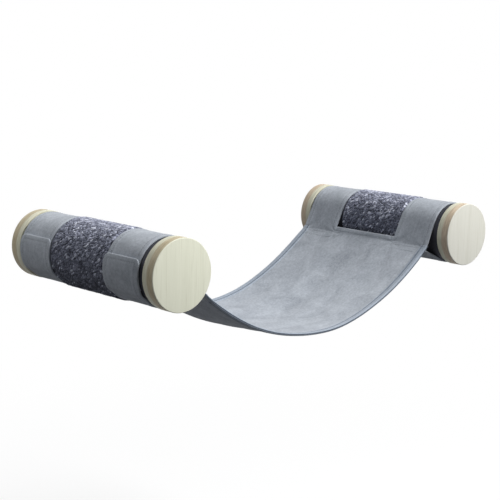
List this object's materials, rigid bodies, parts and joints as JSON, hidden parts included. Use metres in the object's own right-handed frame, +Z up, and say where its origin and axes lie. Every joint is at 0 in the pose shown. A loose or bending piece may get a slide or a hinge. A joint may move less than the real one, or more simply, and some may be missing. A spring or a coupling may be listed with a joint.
{
  "type": "wall mounted cat hammock",
  "caption": "Wall mounted cat hammock: a fabric sling hangs between rollers with carpet scratching pads and wooden end discs, closed round them by hook and loop flaps.",
  "frame": {"origin": "on the wall plane, midway between the two rollers, at the height of their axes", "axes": "+X along the wall to the right as seen from the room, +Y into the wall, +Z up"},
  "size_m": [0.706, 0.362, 0.1875],
  "materials": {
    "pale_wood": "smooth, lightly sealed",
    "plywood": "sanded",
    "dark_board": "dyed paper board",
    "carpet": "short loop and cut pile with light flecks",
    "grey_fabric": "short pile, suede like",
    "grey_tape": "woven hook and loop tape",
    "zinc_steel": "zinc plated",
    "grey_nylon": "moulded"
  },
  "bodies": {
    "root": {"left_wall_disc": "pale_wood", "left_rear_hub": "plywood", "left_rear_nut": "zinc_steel", "left_clamp_rod": "zinc_steel", "left_board_tube": "dark_board", "left_carpet_pad": "carpet", "left_front_hub": "plywood", "left_front_nut": "zinc_steel", "left_front_disc": "pale_wood", "left_wall_screw_1": "zinc_steel", "left_wall_plug_1": "grey_nylon", "left_disc_screw_1": "zinc_steel", "left_wall_screw_2": "zinc_steel", "left_wall_plug_2": "grey_nylon", "left_disc_screw_2": "zinc_steel", "right_wall_disc": "pale_wood", "right_rear_hub": "plywood", "right_rear_nut": "zinc_steel", "right_clamp_rod": "zinc_steel", "right_board_tube": "dark_board", "right_carpet_pad": "carpet", "right_front_hub": "plywood", "right_front_nut": "zinc_steel", "right_front_disc": "pale_wood", "right_wall_screw_1": "zinc_steel", "right_wall_plug_1": "grey_nylon", "right_disc_screw_1": "zinc_steel", "right_wall_screw_2": "zinc_steel", "right_wall_plug_2": "grey_nylon", "right_disc_screw_2": "zinc_steel", "sling_panel": "grey_fabric", "left_rear_strap": "grey_fabric", "left_rear_loop_tape": "grey_tape", "left_front_strap": "grey_fabric", "left_front_loop_tape": "grey_tape", "right_rear_strap": "grey_fabric", "right_rear_loop_tape": "grey_tape", "right_front_strap": "grey_fabric", "right_front_loop_tape": "grey_tape"},
    "left_rear_flap_body": {"left_rear_flap": "grey_fabric", "left_rear_hook_tape": "grey_tape"},
    "left_front_flap_body": {"left_front_flap": "grey_fabric", "left_front_hook_tape": "grey_tape"},
    "right_rear_flap_body": {"right_rear_flap": "grey_fabric", "right_rear_hook_tape": "grey_tape"},
    "right_front_flap_body": {"right_front_flap": "grey_fabric", "right_front_hook_tape": "grey_tape"}
  },
  "joints": [
    {"name": "left_rear_flap_hinge", "type": "hinge", "parent": "root", "child": "left_rear_flap_body", "pos_m": [-0.3406, -0.0625, -0.03407], "axis": [0, -1, 0], "range_deg": [0, 150]},
    {"name": "left_front_flap_hinge", "type": "hinge", "parent": "root", "child": "left_front_flap_body", "pos_m": [-0.3406, -0.2635, -0.03407], "axis": [0, -1, 0], "range_deg": [0, 150]},
    {"name": "right_rear_flap_hinge", "type": "hinge", "parent": "root", "child": "right_rear_flap_body", "pos_m": [0.3406, -0.0625, -0.03407], "axis": [0, 1, 0], "range_deg": [0, 150]},
    {"name": "right_front_flap_hinge", "type": "hinge", "parent": "root", "child": "right_front_flap_body", "pos_m": [0.3406, -0.2635, -0.03407], "axis": [0, 1, 0], "range_deg": [0, 150]}
  ]
}
